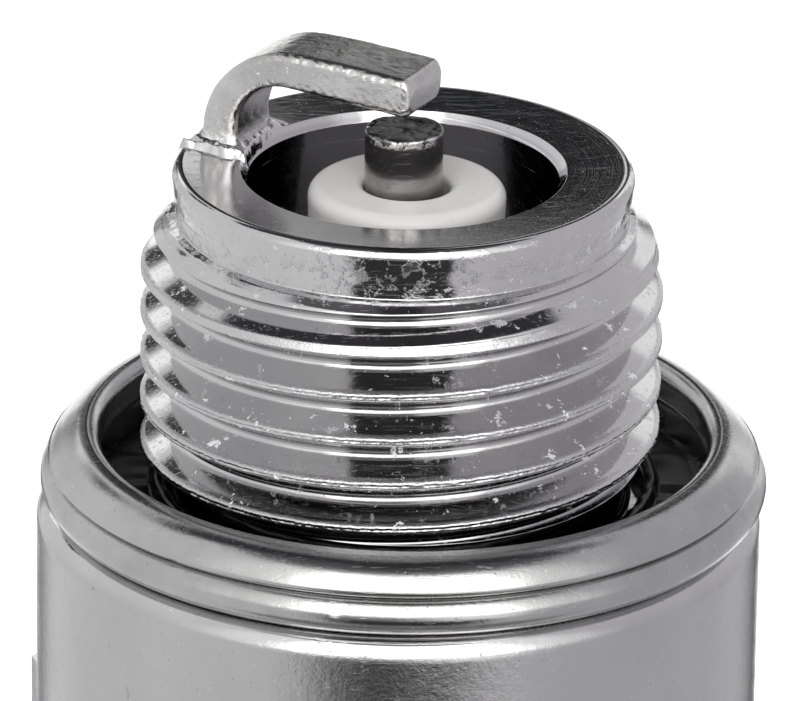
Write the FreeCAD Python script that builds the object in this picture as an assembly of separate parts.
import FreeCAD, Part
import math
import os

# Spark plug, 14 mm thread, short reach, gasket seat, as an assembly of its separate pieces.
# Millimetres. +Z runs along the plug axis toward the firing end.
# Origin: centre of the gasket seating plane on the flange.
# z > 0 is thread and firing end, z < 0 is hexagon, insulator and terminal.
# In names, TOP is an end toward +Z; BOTTOM and END are ends toward -Z.
# Turned profiles are lists of (radius, z) corners.

Vector = FreeCAD.Vector
ORIGIN = Vector(0, 0, 0)
AXIS = Vector(0, 0, 1)

AIR = 0.01                  # air left between neighbouring inner pieces
PAST = 1.0                  # how far a cutting tool runs past an end face

# ---- dimensions shared by several pieces
REACH = 9.5                 # seat plane to end face
NOSE_R = 6.17               # end face edge, a little wider than the pilot below it
MOUTH_R = 4.33              # bore at the end face
FLANGE_R = 9.76
BIG_BORE_R = 6.95           # packing chamber of the housing
RIDGE_R, SEAT_TOP_Z = 3.55, 0.20     # seat cone in the housing, inner edge
MID_BORE_R, SEAT_LOW_Z = 4.75, -0.70  # and outer edge
WASHER_LIFT = 0.30          # seat cone to the washer's far face
INSULATOR_NECK_R = 5.50
INSULATOR_END = -31.5
UPPER_BORE_R = 1.95         # insulator bore around the core stack


# ================= helpers
def point(radius, z):
    return Vector(radius, 0, z)


def arc_about(centre, radius, start_deg, end_deg):
    """Profile entry for an arc that carries on from the previous corner."""
    def at(degrees):
        angle = math.radians(degrees)
        return (centre[0] + radius * math.cos(angle), centre[1] + radius * math.sin(angle))
    return ("arc", at((start_deg + end_deg) / 2), at(end_deg))


def profile_edges(corners):
    """Edges through (r, z) corners and ("arc", mid, end) entries, with first and last point."""
    first = here = point(*corners[0])
    edges = []
    for corner in corners[1:]:
        if corner[0] == "arc":
            end = point(*corner[2])
            edges.append(Part.Arc(here, point(*corner[1]), end).toShape())
        else:
            end = point(*corner)
            if end.distanceToPoint(here) < 1e-7:
                continue
            edges.append(Part.makeLine(here, end))
        here = end
    return edges, first, here


def as_solid(shape):
    return shape if shape.ShapeType == "Solid" else Part.Solid(shape.Shells[0])


def revolved(edges):
    solid = as_solid(Part.Face(Part.Wire(edges)).revolve(ORIGIN, AXIS, 360))
    if solid.Volume < 0:
        solid.reverse()
    return solid


def turned(corners):
    """Solid of revolution about Z; the profile closes itself."""
    edges, first, last = profile_edges(corners)
    if last.distanceToPoint(first) > 1e-7:
        edges.append(Part.makeLine(last, first))
    return revolved(edges)


def helix_ridge(start_z, turns, pitch, root_r, crest_r, crest_flat, sink, over):
    """Sixty degree ridge on a right-hand helix that starts at +X at start_z.

    It begins sink below the root and runs past the crest by over."""
    tan30 = math.tan(math.radians(30))
    helix = Part.makeHelix(pitch, pitch * turns, root_r)
    helix.translate(Vector(0, 0, start_z))
    inner_r, outer_r = root_r - sink, crest_r + over
    inner_half = crest_flat / 2 + (crest_r - inner_r) * tan30
    outer_half = crest_flat / 2 - over * tan30
    section = Part.makePolygon([
        point(inner_r, start_z - inner_half), point(outer_r, start_z - outer_half),
        point(outer_r, start_z + outer_half), point(inner_r, start_z + inner_half),
        point(inner_r, start_z - inner_half)])
    return as_solid(Part.Wire(helix).makePipeShell([section], True, True))


def trim_ridge(ridge, crest_r, low, high):
    """Cut a ridge back to its crest cylinder and to a lead surface at each end.

    low and high are (r, z) points from the root out to the crest."""
    outer_r = crest_r + 0.8
    beyond = 6
    cone_seam, tube_seam = 50, 77    # degrees round the axis of the tools' seams
    high_r, high_z = high[0]
    (low_r, low_z), (_, low_crest_z) = low
    top = turned(list(high) + [
        (outer_r, high[-1][1]), (outer_r, high_z + beyond), (high_r, high_z + beyond)])
    top.rotate(ORIGIN, AXIS, cone_seam)
    bottom = turned(list(low) + [
        (outer_r, low_crest_z), (outer_r, low_z - beyond), (low_r, low_z - beyond)])
    bottom.rotate(ORIGIN, AXIS, cone_seam)
    height = high_z - low_z + 2 * PAST
    base = Vector(0, 0, low_z - PAST)
    tube = Part.makeCylinder(outer_r, height, base)
    tube = tube.cut(Part.makeCylinder(crest_r, height, base))
    tube.rotate(ORIGIN, AXIS, tube_seam)
    return ridge.cut(top).cut(bottom).cut(tube)


# ================= metal housing
THREAD_R = 14.0 / 2         # M14 x 1.25 right hand
THREAD_PITCH = 1.25
THREAD_ROOT_R = 6.233
THREAD_CREST_FLAT = 0.156
THREAD_PHASE = 6.951        # height of one crest at the -Y side
NECK_R = 6.05               # undercut between thread and seat
NECK_TOP = 1.05
NECK_ROUND = 0.25
THREAD_FULL_FROM = 1.60     # full-diameter crests from here
THREAD_TOP = 8.02
# rounded lead of the thread: (radius, z) from the pilot out to the full crest
THREAD_LEAD = [
    (5.9, 8.17), (6.05, 8.10), (6.25, 8.00), (6.45, 7.85),
    (6.66, 7.65), (6.76, 7.40), (6.86, 7.10), (THREAD_R, 6.70)]
NOSE_ROUND = 0.32
PILOT_R = 6.05
FLANGE_BOTTOM = -6.00
FLANGE_ROUND = 0.62
FLANGE_CHAMFER = 0.12
FLANGE_OVERLAP = 0.02       # the flange sinks this far into the hexagon
HEX_FLATS = 19.0            # across flats
HEX_TURN = 7.0              # degrees that the flats are turned from the X axis
HEX_BOTTOM = -11.40
HEX_CHAMFER_R = 9.35        # end faces of the hexagon
GROOVE_R = 7.95
GROOVE_ROUND = 0.35
GROOVE_BOTTOM = -12.35
COLLAR_R = 8.35
COLLAR_ROUND = 1.15
LIP_BOTTOM = -15.70
LIP_UNDER_Z = -15.0
LIP_IN_R = 5.80
LIP_ROUND = 0.25
BORE_R = 4.15               # firing chamber
BORE_STEP_Z = 2.2


def make_thread():
    start_z = THREAD_PHASE + THREAD_PITCH / 4 - 6 * THREAD_PITCH
    ridge = helix_ridge(start_z, turns=8.0, pitch=THREAD_PITCH, root_r=THREAD_ROOT_R,
                        crest_r=THREAD_R, crest_flat=THREAD_CREST_FLAT, sink=0.13, over=0.10)
    low = ((5.9, NECK_TOP - 0.087), (THREAD_R, THREAD_FULL_FROM))
    return trim_ridge(ridge, THREAD_R, low, THREAD_LEAD)


def make_front():
    """End face, pilot, thread core, undercut and flange."""
    return turned([
        (0, REACH), (NOSE_R - NOSE_ROUND, REACH),
        arc_about((NOSE_R - NOSE_ROUND, REACH - NOSE_ROUND), NOSE_ROUND, 90, 0),
        (PILOT_R, REACH - 1.05), (PILOT_R, THREAD_TOP), (PILOT_R, THREAD_TOP - 0.05),
        (THREAD_ROOT_R, THREAD_TOP - 0.30), (THREAD_ROOT_R, NECK_TOP + 0.12),
        (NECK_R, NECK_TOP), (NECK_R, NECK_ROUND),
        arc_about((NECK_R + NECK_ROUND, NECK_ROUND), NECK_ROUND, 180, 270),
        (FLANGE_R - FLANGE_ROUND, 0.0),
        arc_about((FLANGE_R - FLANGE_ROUND, -FLANGE_ROUND), FLANGE_ROUND, 90, 0),
        (FLANGE_R, FLANGE_BOTTOM + FLANGE_CHAMFER), (FLANGE_R - FLANGE_CHAMFER, FLANGE_BOTTOM),
        (8.6, FLANGE_BOTTOM - FLANGE_OVERLAP), (0, FLANGE_BOTTOM - FLANGE_OVERLAP)])


def make_hexagon():
    """Hexagon with turned chamfers at both ends."""
    corner_r = HEX_FLATS / 2 / math.cos(math.radians(30))
    corners = []
    for k in range(7):
        angle = math.radians(HEX_TURN + 30 + 60 * k)
        corners.append(Vector(corner_r * math.cos(angle), corner_r * math.sin(angle), HEX_BOTTOM))
    prism = Part.Face(Part.makePolygon(corners)).extrude(Vector(0, 0, FLANGE_BOTTOM - HEX_BOTTOM))
    rise = (corner_r - HEX_CHAMFER_R) * math.tan(math.radians(30))
    envelope_r = corner_r + 0.5
    cones = turned([
        (0, FLANGE_BOTTOM), (HEX_CHAMFER_R, FLANGE_BOTTOM), (corner_r, FLANGE_BOTTOM - rise),
        (envelope_r, FLANGE_BOTTOM - rise), (envelope_r, HEX_BOTTOM + rise),
        (corner_r, HEX_BOTTOM + rise), (HEX_CHAMFER_R, HEX_BOTTOM), (0, HEX_BOTTOM)])
    return prism.common(cones)


def make_collar():
    """Groove, cylinder and rolled-in lip on the -Z side of the hexagon."""
    groove_edge_r = GROOVE_R + GROOVE_ROUND
    overlap = 0.5
    return turned([
        (0, HEX_BOTTOM + overlap), (groove_edge_r, HEX_BOTTOM + overlap),
        (groove_edge_r, HEX_BOTTOM),
        arc_about((groove_edge_r, HEX_BOTTOM - GROOVE_ROUND), GROOVE_ROUND, 90, 180),
        (GROOVE_R, GROOVE_BOTTOM + 0.25), (COLLAR_R, GROOVE_BOTTOM - 0.1),
        (COLLAR_R, LIP_BOTTOM + COLLAR_ROUND),
        arc_about((COLLAR_R - COLLAR_ROUND, LIP_BOTTOM + COLLAR_ROUND), COLLAR_ROUND, 0, -90),
        (LIP_IN_R + LIP_ROUND, LIP_BOTTOM),
        arc_about((LIP_IN_R + LIP_ROUND, LIP_BOTTOM + LIP_ROUND), LIP_ROUND, 270, 180),
        (LIP_IN_R, LIP_UNDER_Z), (0, LIP_UNDER_Z)])


def make_bore():
    """Cutting tool: firing chamber, seat ridge, insulator bore, packing chamber, lip."""
    return turned([
        (0, REACH + PAST), (MOUTH_R + 1, REACH + PAST), (MOUTH_R + 1, REACH + 0.5),
        (MOUTH_R, REACH), (BORE_R, REACH - 0.26),
        (BORE_R, BORE_STEP_Z), (RIDGE_R, BORE_STEP_Z - 0.6),
        (RIDGE_R, SEAT_TOP_Z), (MID_BORE_R, SEAT_LOW_Z),
        (MID_BORE_R, -5.3), (BIG_BORE_R, -6.7), (BIG_BORE_R, -14.55),
        ("arc", (BIG_BORE_R - 0.10, -14.70), (BIG_BORE_R - 0.30, -14.78)),
        (LIP_IN_R + 0.15, -14.86), (LIP_IN_R, LIP_UNDER_Z),
        (LIP_IN_R, LIP_BOTTOM - 0.3), (0, LIP_BOTTOM - 0.3)])


def make_shell():
    thread = make_thread()
    body = make_front().fuse(thread)
    body = body.fuse([make_hexagon(), make_collar()])
    return body.cut(make_bore()).removeSplitter()


# ================= side electrode: one bent bar welded to the end face
# Drawn with its arm along +X and the leg's centre line on Z, then turned to its place.
SIDE_ANGLE = 154.0          # where it stands on the end face, degrees from +X
SIDE_RADIUS = 5.05
SIDE_W = 2.16
SIDE_CORNER = 0.22
LEG_T = 1.10                # leg thickness at the end face
LEG_INNER_X = LEG_T / 2
BEND_R = 1.40               # inside radius of the bend
BEND_Z = 10.05
ARM_DROOP = 3.4             # degrees that the arm leans toward the gap
ARM_TIP_X = 5.66
TIP_WEAR = 0.17             # rounding of the tip's edges
# the bar is thinner through the bend: (degrees of bend, thickness)
BEND_THICKNESS = [(0, 1.02), (20, 0.96), (40, 0.90), (55, 0.88), (70, 0.90), (90, 0.97)]
# along the straight arm: (fraction of its length, thickness)
ARM_THICKNESS = [(0.14, 1.02), (0.32, 1.05), (0.62, 1.06), (1.0, 1.06)]
BEAD_H = 0.34
BEAD_CHAMFER = 0.16
BEAD_SIDE = 0.20            # bead past the leg's outer face and sides
BEAD_INNER = 0.16           # bead past the leg's inner face


def make_bent_bar():
    half_w = SIDE_W / 2
    droop = math.radians(ARM_DROOP)
    bend_x = LEG_INNER_X + BEND_R

    def on_bend(radius, angle):
        return (bend_x + radius * math.cos(angle), BEND_Z + radius * math.sin(angle))

    def on_side(place):
        return Vector(place[0], -half_w, place[1])

    end_angle = math.radians(90 - ARM_DROOP)
    bend_end = on_bend(BEND_R, end_angle)
    run = ARM_TIP_X - bend_end[0]
    inner_tip = (ARM_TIP_X, bend_end[1] - run * math.tan(droop))
    outer = [(LEG_INNER_X - LEG_T, REACH), (LEG_INNER_X - 1.05, REACH + 0.28)]
    for degrees, thickness in BEND_THICKNESS:
        outer.append(on_bend(BEND_R + thickness, math.pi - math.radians(degrees)))
    for fraction, thickness in ARM_THICKNESS:
        outer.append((
            bend_end[0] + run * fraction + thickness * math.sin(droop),
            bend_end[1] - run * fraction * math.tan(droop) + thickness * math.cos(droop)))
    crown = Part.BSplineCurve()
    crown.interpolate([on_side(place) for place in outer])

    leg_foot = on_side((LEG_INNER_X, REACH))
    bend_start = on_side((LEG_INNER_X, BEND_Z))
    bend_mid = on_side(on_bend(BEND_R, (math.pi + end_angle) / 2))
    side = Part.Wire([
        Part.makeLine(leg_foot, bend_start),
        Part.Arc(bend_start, bend_mid, on_side(bend_end)).toShape(),
        Part.makeLine(on_side(bend_end), on_side(inner_tip)),
        Part.makeLine(on_side(inner_tip), on_side(outer[-1])),
        crown.toShape(),
        Part.makeLine(on_side(outer[0]), leg_foot)])
    bar = Part.Face(side).extrude(Vector(0, SIDE_W, 0))

    def is_long_edge(edge):
        middle = edge.CenterOfMass
        at_an_end = middle.z < REACH + 0.01 or middle.x > ARM_TIP_X - 0.05
        return abs(abs(middle.y) - half_w) < 1e-4 and not at_an_end

    bar = bar.makeFillet(SIDE_CORNER, [edge for edge in bar.Edges if is_long_edge(edge)])
    # The small fillet round the tip can fail; the tip then stays sharp.
    try:
        tip_edges = [edge for edge in bar.Edges if edge.CenterOfMass.x > ARM_TIP_X - 0.02]
        worn = bar.makeFillet(TIP_WEAR, tip_edges)
        if worn.isValid():
            bar = worn
    except Exception:
        pass
    return bar


def make_weld_bead():
    """Low bead all round the leg, on the end face."""
    corner = Vector(-LEG_T / 2 - BEAD_SIDE, -SIDE_W / 2 - BEAD_SIDE, REACH)
    bead = Part.makeBox(LEG_T + BEAD_SIDE + BEAD_INNER, SIDE_W + 2 * BEAD_SIDE, BEAD_H, corner)
    top_edges = [edge for edge in bead.Edges if edge.CenterOfMass.z > REACH + 0.3]
    return bead.makeChamfer(BEAD_CHAMFER, top_edges)


def make_ground_electrode():
    bar = make_bent_bar().fuse(make_weld_bead()).removeSplitter()
    angle = math.radians(SIDE_ANGLE)
    bar.rotate(ORIGIN, AXIS, SIDE_ANGLE - 180)
    bar.translate(Vector(SIDE_RADIUS * math.cos(angle), SIDE_RADIUS * math.sin(angle), 0))
    # the foot keeps within the end face, between its edge and the mouth
    base = Vector(0, 0, REACH)
    keep = Part.makeCylinder(NOSE_R - 0.20, 10, base)
    keep = keep.cut(Part.makeCylinder(MOUTH_R + 0.02, BEAD_H + 0.02, base))
    return bar.common(keep)


# ================= crush gasket: one folded strip, in section a flattened S with an inner lip
STRIP_T = 0.34
STRIP_HALF = STRIP_T / 2
GASKET_SHIFT_X = 0.10       # a loose gasket sits a little to one side
GASKET_LIFT = 0.02
LAYER1_Z = GASKET_LIFT + STRIP_HALF        # middle of the layer on the seat
OUTER_FOLD_R = 0.385
LAYER2_Z = LAYER1_Z + 2 * OUTER_FOLD_R
OUTER_FOLD_AT = FLANGE_R + 0.02 - STRIP_HALF - OUTER_FOLD_R
INNER_FOLD_R = 0.25         # the two small bends of the inner fold
INNER_FOLD_AT = 8.33        # strip centre at the inner fold
CROWN_Z = LAYER2_Z + 0.90
CROWN_R = 0.78
CROWN_AT = 8.66
CROWN_END_DEG = 15.0
GASKET_LIP_AT = 6.65
GASKET_LIP_Z = LAYER1_Z + 0.34
GASKET_LIP_BEND_R = 0.28


def strip_side(offset):
    """One side of the strip, offset to the left of travel.

    Travel: lip down, first layer out, outer fold, second layer in, inner fold, crown out."""
    lip_bend = (GASKET_LIP_AT + GASKET_LIP_BEND_R, LAYER1_Z + GASKET_LIP_BEND_R)
    bend_at = INNER_FOLD_AT + INNER_FOLD_R
    bend_r = INNER_FOLD_R + offset
    return [
        (GASKET_LIP_AT + offset, GASKET_LIP_Z),
        (GASKET_LIP_AT + offset, lip_bend[1]),
        arc_about(lip_bend, GASKET_LIP_BEND_R - offset, 180, 270),
        (OUTER_FOLD_AT, LAYER1_Z + offset),
        arc_about((OUTER_FOLD_AT, LAYER1_Z + OUTER_FOLD_R), OUTER_FOLD_R - offset, -90, 90),
        (bend_at, LAYER2_Z - offset),
        arc_about((bend_at, LAYER2_Z + INNER_FOLD_R), bend_r, 270, 180),
        (INNER_FOLD_AT - offset, CROWN_Z - INNER_FOLD_R),
        arc_about((bend_at, CROWN_Z - INNER_FOLD_R), bend_r, 180, 90),
        (CROWN_AT, CROWN_Z + offset),
        arc_about((CROWN_AT, CROWN_Z - CROWN_R), CROWN_R + offset, 90, CROWN_END_DEG)]


def make_gasket():
    left, left_start, left_end = profile_edges(strip_side(STRIP_HALF))
    right, right_start, right_end = profile_edges(strip_side(-STRIP_HALF))
    # rounded ends of the strip
    lip_mid = point((left_start.x + right_start.x) / 2, left_start.z + STRIP_HALF)
    lip_end = Part.Arc(right_start, lip_mid, left_start).toShape()
    angle = math.radians(CROWN_END_DEG)
    crown_mid = point((left_end.x + right_end.x) / 2 + STRIP_HALF * math.sin(angle),
                      (left_end.z + right_end.z) / 2 - STRIP_HALF * math.cos(angle))
    crown_end = Part.Arc(left_end, crown_mid, right_end).toShape()
    gasket = revolved(Part.__sortEdges__(left + [crown_end] + right + [lip_end]))
    gasket.translate(Vector(GASKET_SHIFT_X, 0, 0))
    return gasket


# ================= washer between the insulator's seat cone and the housing's ridge
SEAT_LENGTH = math.hypot(MID_BORE_R - RIDGE_R, SEAT_LOW_Z - SEAT_TOP_Z)
SEAT_DIR_R = (MID_BORE_R - RIDGE_R) / SEAT_LENGTH      # unit vector outward and toward -Z
SEAT_DIR_Z = (SEAT_LOW_Z - SEAT_TOP_Z) / SEAT_LENGTH


def seat_point(along, lift):
    """Point along the housing's seat cone, lifted off it inward and toward -Z."""
    return (RIDGE_R + SEAT_DIR_R * along + SEAT_DIR_Z * lift,
            SEAT_TOP_Z + SEAT_DIR_Z * along - SEAT_DIR_R * lift)


def make_seat_washer():
    inner, outer = 0.12, SEAT_LENGTH - 0.10
    return turned([seat_point(inner, AIR), seat_point(outer, AIR),
                   seat_point(outer, WASHER_LIFT), seat_point(inner, WASHER_LIFT)])


# ================= insulator
TIP_Z = 9.0
TIP_R = 2.65
TIP_ROUND = 0.78
TIP_HOLE_R = 1.16
TIP_HOLE_ROUND = 0.2
TIP_HOLE_END = TIP_Z - 1.4
NOSE_ROOT_R = 3.28
BODY_R = 4.63
SHOULDER_R = 6.76
CORE_BORE_R = 1.09
BARREL_R = 5.12             # outside part, with shallow ribs
RIB_R = 5.58
RIB_COUNT = 3
RIB_START = -17.9
RIB_PITCH = 2.1
RIB_W = 1.5


def insulator_seat_z(radius):
    """Height of the insulator's seat cone, just clear of the washer, at a radius."""
    base_r, base_z = seat_point(0, WASHER_LIFT + AIR)
    return base_z + SEAT_DIR_Z * (radius - base_r) / SEAT_DIR_R


def make_insulator():
    root_z = insulator_seat_z(NOSE_ROOT_R)
    hole_edge = TIP_HOLE_R + TIP_HOLE_ROUND
    profile = [
        (hole_edge, TIP_Z), (TIP_R - TIP_ROUND, TIP_Z),
        arc_about((TIP_R - TIP_ROUND, TIP_Z - TIP_ROUND), TIP_ROUND, 90, 0),
        (NOSE_ROOT_R - 0.02, root_z + 1.2), (NOSE_ROOT_R, root_z),
        (BODY_R, insulator_seat_z(BODY_R)), (BODY_R, -5.75),
        (SHOULDER_R - 0.1, -7.05), (SHOULDER_R, -7.25), (SHOULDER_R, -9.9),
        (INSULATOR_NECK_R, -10.62), (INSULATOR_NECK_R, -16.6),
        ("arc", (INSULATOR_NECK_R - 0.11, -17.0), (BARREL_R, -17.25))]
    for k in range(RIB_COUNT):
        z = RIB_START - k * RIB_PITCH
        profile += [(BARREL_R, z), ("arc", (RIB_R - 0.02, z - RIB_W / 2), (BARREL_R, z - RIB_W))]
    profile += [
        (BARREL_R - 0.02, RIB_START - RIB_COUNT * RIB_PITCH - 0.3),
        (4.55, INSULATOR_END + 2.4), (4.35, INSULATOR_END + 0.75),
        ("arc", (4.10, INSULATOR_END + 0.22), (3.55, INSULATOR_END)),
        # back up the bore
        (UPPER_BORE_R + 0.25, INSULATOR_END), (UPPER_BORE_R, INSULATOR_END + 0.25),
        (UPPER_BORE_R, -3.75), (CORE_BORE_R, -3.15), (CORE_BORE_R, TIP_HOLE_END - 0.1),
        (TIP_HOLE_R, TIP_HOLE_END), (TIP_HOLE_R, TIP_Z - TIP_HOLE_ROUND),
        arc_about((hole_edge, TIP_Z - TIP_HOLE_ROUND), TIP_HOLE_ROUND, 180, 90)]
    return turned(profile)


# ================= centre electrode: nickel alloy jacket over a copper core
CENTER_R = 1.045
CENTER_TOP = 10.56
CENTER_ROUND = 0.07
CENTER_END = -5.2
HEAD_R = 1.62               # head at the -Z end of the wire
HEAD_CONE_Z = -3.16
HEAD_TOP = -3.60
HEAD_BOTTOM = -4.15
TAIL_R = 1.30
TAIL_TOP = -4.35
CORE_R = 0.62
CORE_TOP = 8.7


def make_core_rod(radius, top, end):
    return turned([(0, top), (radius - 0.2, top - 0.1), (radius, top - 0.4),
                   (radius, end), (0, end)])


def make_center_electrode():
    jacket = turned([
        (0, CENTER_TOP), (CENTER_R - CENTER_ROUND, CENTER_TOP),
        arc_about((CENTER_R - CENTER_ROUND, CENTER_TOP - CENTER_ROUND), CENTER_ROUND, 90, 0),
        (CENTER_R, HEAD_CONE_Z), (HEAD_R, HEAD_TOP), (HEAD_R, HEAD_BOTTOM),
        (TAIL_R, TAIL_TOP), (TAIL_R, CENTER_END), (0, CENTER_END)])
    return jacket.cut(make_core_rod(CORE_R, CORE_TOP, CENTER_END - PAST))


def make_center_core():
    return make_core_rod(CORE_R - 0.005, CORE_TOP - AIR, CENTER_END + 0.02)


# ================= core stack: conductive glass, resistor, conductive glass
STACK_R = UPPER_BORE_R - AIR
LOWER_GLASS_TOP = -3.80
LOWER_GLASS_END = -8.60
RESISTOR_END = -14.60
RESISTOR_CHAMFER = 0.1
UPPER_GLASS_END = -20.2
STUD_TOP = -16.40
KNURL_R = 1.74


def make_plain_rod(radius, top, end):
    return turned([(0, top), (radius, top), (radius, end), (0, end)])


def make_lower_glass():
    head = turned([
        (0, -3.0), (CENTER_R + AIR, -3.0), (CENTER_R + AIR, HEAD_CONE_Z),
        (HEAD_R + AIR, HEAD_TOP + 0.004), (HEAD_R + AIR, HEAD_BOTTOM - AIR),
        (TAIL_R + AIR, TAIL_TOP - AIR), (TAIL_R + AIR, CENTER_END - AIR), (0, CENTER_END - AIR)])
    return make_plain_rod(STACK_R, LOWER_GLASS_TOP, LOWER_GLASS_END).cut(head)


def make_resistor():
    top = LOWER_GLASS_END - AIR
    chamfer = RESISTOR_CHAMFER
    return turned([
        (0, top), (STACK_R - chamfer, top), (STACK_R, top - chamfer),
        (STACK_R, RESISTOR_END + chamfer), (STACK_R - chamfer, RESISTOR_END), (0, RESISTOR_END)])


def make_upper_glass():
    glass = make_plain_rod(STACK_R, RESISTOR_END - AIR, UPPER_GLASS_END)
    return glass.cut(make_plain_rod(KNURL_R + AIR, STUD_TOP + AIR, UPPER_GLASS_END - PAST))


# ================= terminal stud: ringed end in the glass, shaft, collar, M4 thread
STUD_R = 1.60
STUD_THREAD_R = 1.97
STUD_THREAD_PITCH = 0.7
STUD_END = -39.0
STUD_COLLAR_R = 3.0
STUD_COLLAR_TOP = INSULATOR_END - 0.02
STUD_COLLAR_END = -32.52
COLLAR_CHAMFER = 0.12
KNURL_CHAMFER = 0.25
KNURL_ROOT_R = KNURL_R - 0.18
KNURL_PITCH = 0.68
KNURL_GROOVES = 5


def make_terminal_stud():
    knurl_z = STUD_TOP - KNURL_CHAMFER
    profile = [(0, STUD_TOP), (KNURL_R - KNURL_CHAMFER, STUD_TOP), (KNURL_R, knurl_z)]
    for k in range(KNURL_GROOVES):
        z = knurl_z - k * KNURL_PITCH
        profile += [(KNURL_R, z - 0.3), (KNURL_ROOT_R, z - 0.42),
                    (KNURL_ROOT_R, z - 0.56), (KNURL_R, z - KNURL_PITCH)]
    profile += [
        (KNURL_R, UPPER_GLASS_END - 0.2), (STUD_R, UPPER_GLASS_END - 0.4),
        (STUD_R, STUD_COLLAR_TOP), (STUD_COLLAR_R - COLLAR_CHAMFER, STUD_COLLAR_TOP),
        (STUD_COLLAR_R, STUD_COLLAR_TOP - COLLAR_CHAMFER),
        (STUD_COLLAR_R, STUD_COLLAR_END + COLLAR_CHAMFER),
        (STUD_COLLAR_R - COLLAR_CHAMFER, STUD_COLLAR_END), (STUD_R, STUD_COLLAR_END),
        (STUD_R, STUD_END + 0.15), (STUD_R - 0.15, STUD_END), (0, STUD_END)]
    ridge = helix_ridge(STUD_END - 0.6, turns=10.0, pitch=STUD_THREAD_PITCH, root_r=STUD_R,
                        crest_r=STUD_THREAD_R, crest_flat=0.09, sink=0.06, over=0.04)
    low = ((1.50, STUD_END + 0.05), (STUD_THREAD_R, STUD_END + 0.55))
    high = ((1.50, -32.80), (STUD_THREAD_R, -33.2))
    return turned(profile).fuse(trim_ridge(ridge, STUD_THREAD_R, low, high))


# ================= terminal nut: barrel with a waist and a blind plain hole
NUT_R = 3.175
NUT_BORE_R = 2.03
NUT_TOP = -32.56
NUT_END = -41.0
NUT_CHAMFER = 0.2
WAIST_R = 2.65
WAIST_Z = -36.0


def make_terminal_nut():
    waist_edge_r = WAIST_R + 0.1
    return turned([
        (NUT_BORE_R + NUT_CHAMFER, NUT_TOP), (NUT_R - NUT_CHAMFER, NUT_TOP),
        (NUT_R, NUT_TOP - NUT_CHAMFER), (NUT_R, WAIST_Z + 1.0),
        ("arc", (NUT_R - 0.10, WAIST_Z + 0.75), (waist_edge_r, WAIST_Z + 0.55)),
        ("arc", (WAIST_R, WAIST_Z), (waist_edge_r, WAIST_Z - 0.55)),
        ("arc", (NUT_R - 0.10, WAIST_Z - 0.75), (NUT_R, WAIST_Z - 1.0)),
        (NUT_R, NUT_END + 1.1),
        ("arc", (NUT_R - 0.35, NUT_END + 0.35), (NUT_R - 1.1, NUT_END)), (0, NUT_END),
        (0, -40.0), (NUT_BORE_R - 0.3, -39.8), (NUT_BORE_R, -39.4),
        (NUT_BORE_R, NUT_TOP - NUT_CHAMFER)])


# ================= packing round the insulator's neck: two wire rings with talc between
RING_R = 6.24
WIRE_R = 0.60
LOWER_RING_Z = -10.92       # next to the insulator's shoulder
UPPER_RING_Z = -14.15       # next to the housing's lip
PACKING_GAP = 0.02


def make_ring(z, wire_r=WIRE_R):
    return as_solid(Part.makeTorus(RING_R, wire_r, Vector(0, 0, z), AXIS))


def make_talc():
    inner_r, outer_r = INSULATOR_NECK_R + PACKING_GAP, BIG_BORE_R - PACKING_GAP
    top, end = LOWER_RING_Z - 0.30, UPPER_RING_Z + 0.30
    talc = turned([(inner_r, top), (outer_r, top), (outer_r, end), (inner_r, end)])
    for z in (LOWER_RING_Z, UPPER_RING_Z):
        talc = talc.cut(make_ring(z, WIRE_R + PACKING_GAP))
    # the cuts can leave slivers beside the rings; keep the main body
    return max(talc.Solids, key=lambda solid: solid.Volume)


PIECES = {
    "shell": make_shell,
    "ground_electrode": make_ground_electrode,
    "crush_gasket": make_gasket,
    "inner_seat_washer": make_seat_washer,
    "insulator": make_insulator,
    "center_electrode": make_center_electrode,
    "center_electrode_core": make_center_core,
    "lower_glass_seal": make_lower_glass,
    "resistor": make_resistor,
    "upper_glass_seal": make_upper_glass,
    "terminal_stud": make_terminal_stud,
    "terminal_nut": make_terminal_nut,
    "lower_wire_ring": lambda: make_ring(LOWER_RING_Z),
    "talc_fill": make_talc,
    "upper_wire_ring": lambda: make_ring(UPPER_RING_Z),
}

os.makedirs("parts", exist_ok=True)
for name, make_piece in PIECES.items():
    shape = make_piece()
    if len(shape.Solids) == 1:
        shape = shape.Solids[0]
    shape.exportStep("parts/%s.step" % name)
